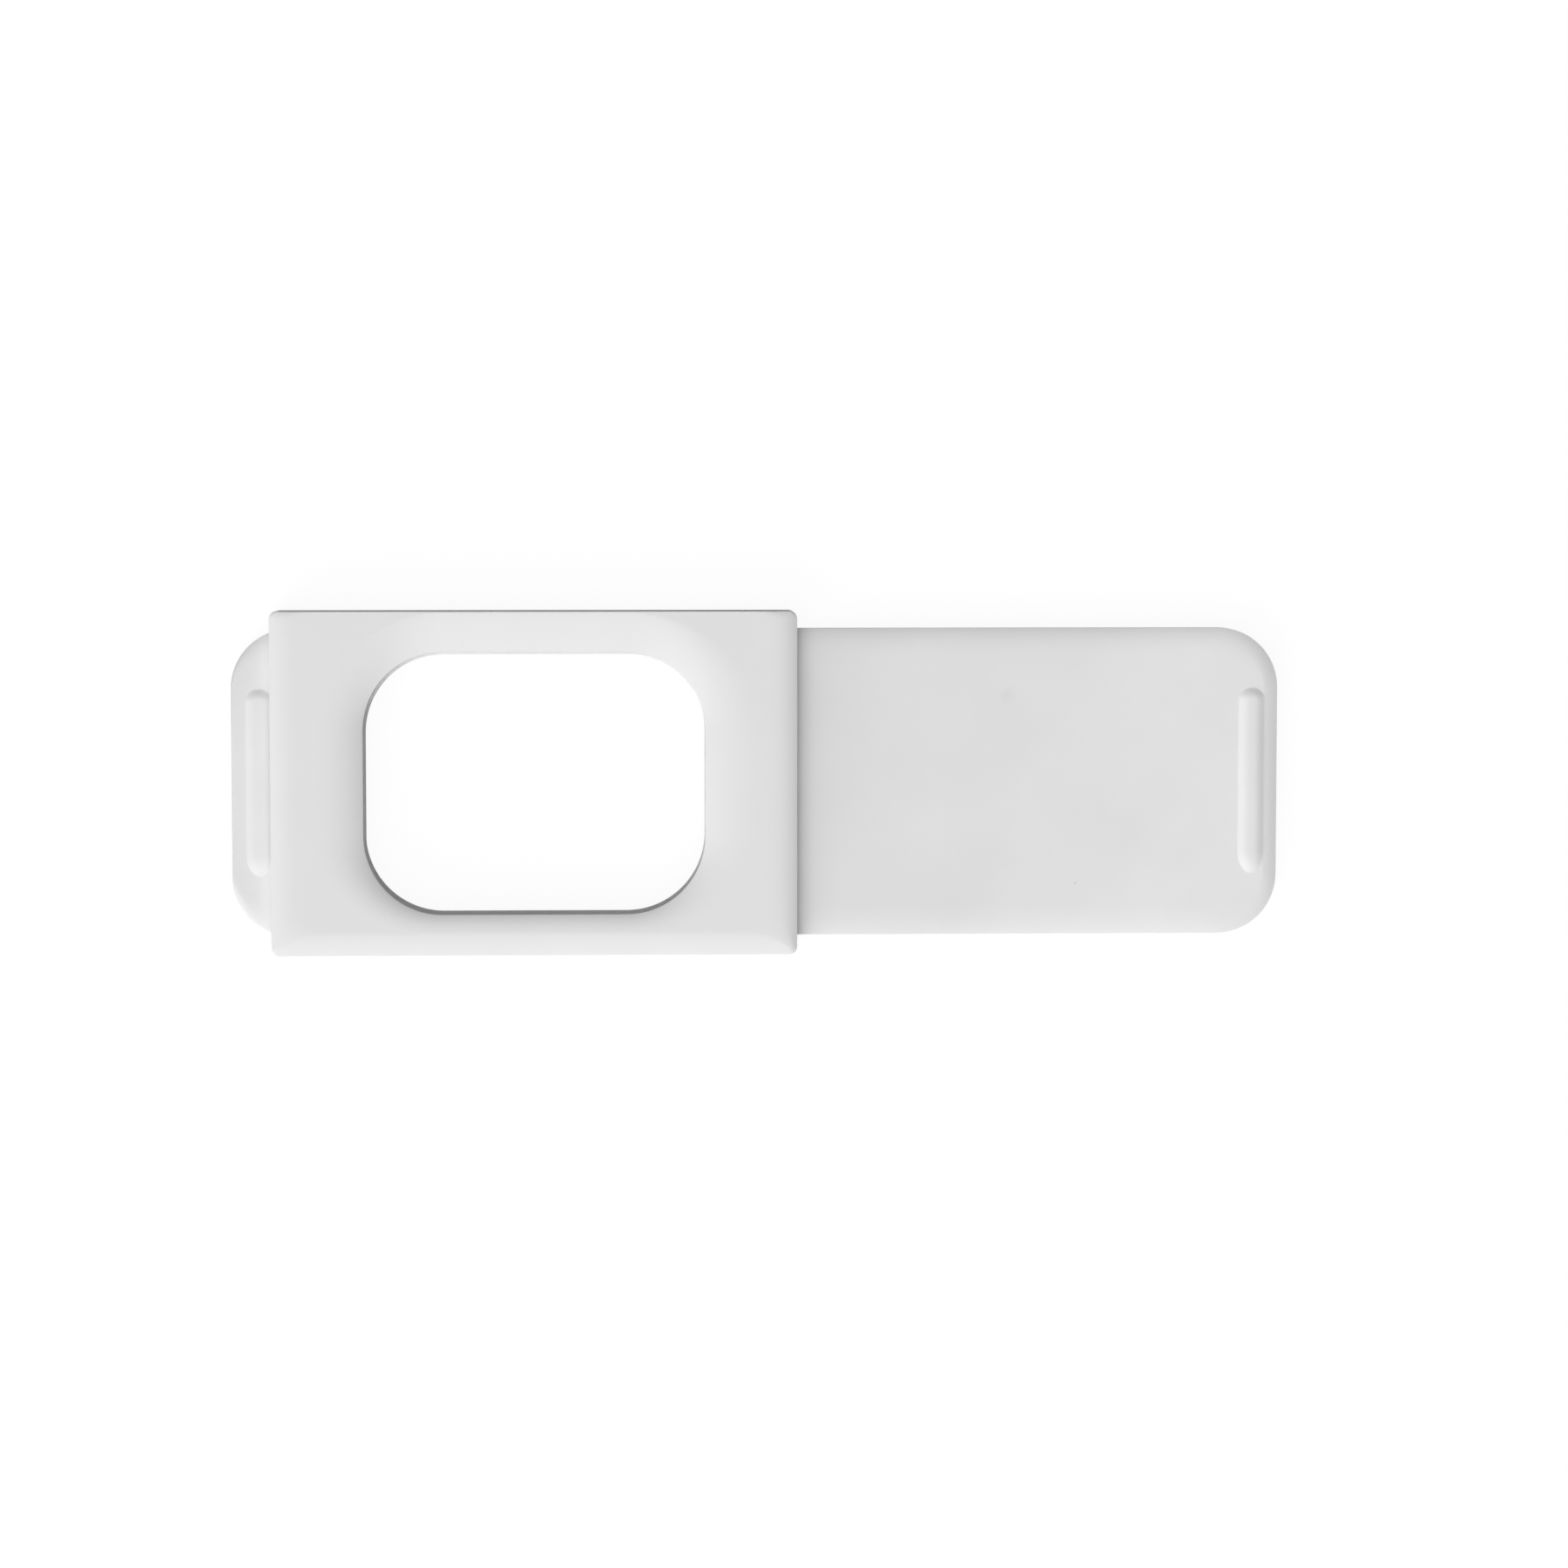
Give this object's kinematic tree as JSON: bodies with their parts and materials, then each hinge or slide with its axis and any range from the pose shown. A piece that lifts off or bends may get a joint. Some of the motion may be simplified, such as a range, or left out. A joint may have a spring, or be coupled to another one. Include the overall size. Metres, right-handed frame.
{
  "type": "webcam cover slider",
  "caption": "Flat white webcam cover: a moulded sleeve with a rounded window sticks over a lens, and a thin ribbed shutter plate slides through it to cover the window.",
  "frame": {"origin": "middle of the window, on the plane where the adhesive meets the bezel", "axes": "+X along the slide towards the blank end of the shutter, +Y across the slide, +Z out of the front face"},
  "size_m": [0.04, 0.0132, 0.0021],
  "materials": {
    "sleeve_plastic": "satin moulded white ABS",
    "shutter_plastic": "satin moulded white ABS",
    "adhesive_tape": "tacky acrylic foam tape"
  },
  "bodies": {
    "sleeve": {"sleeve": "sleeve_plastic", "adhesive_pad": "adhesive_tape"},
    "shutter": {"shutter": "shutter_plastic"}
  },
  "joints": [
    {"name": "shutter_slide", "type": "slide", "parent": "sleeve", "child": "shutter", "axis": [-1, 0, 0], "range_m": [0, 0.01695]}
  ]
}
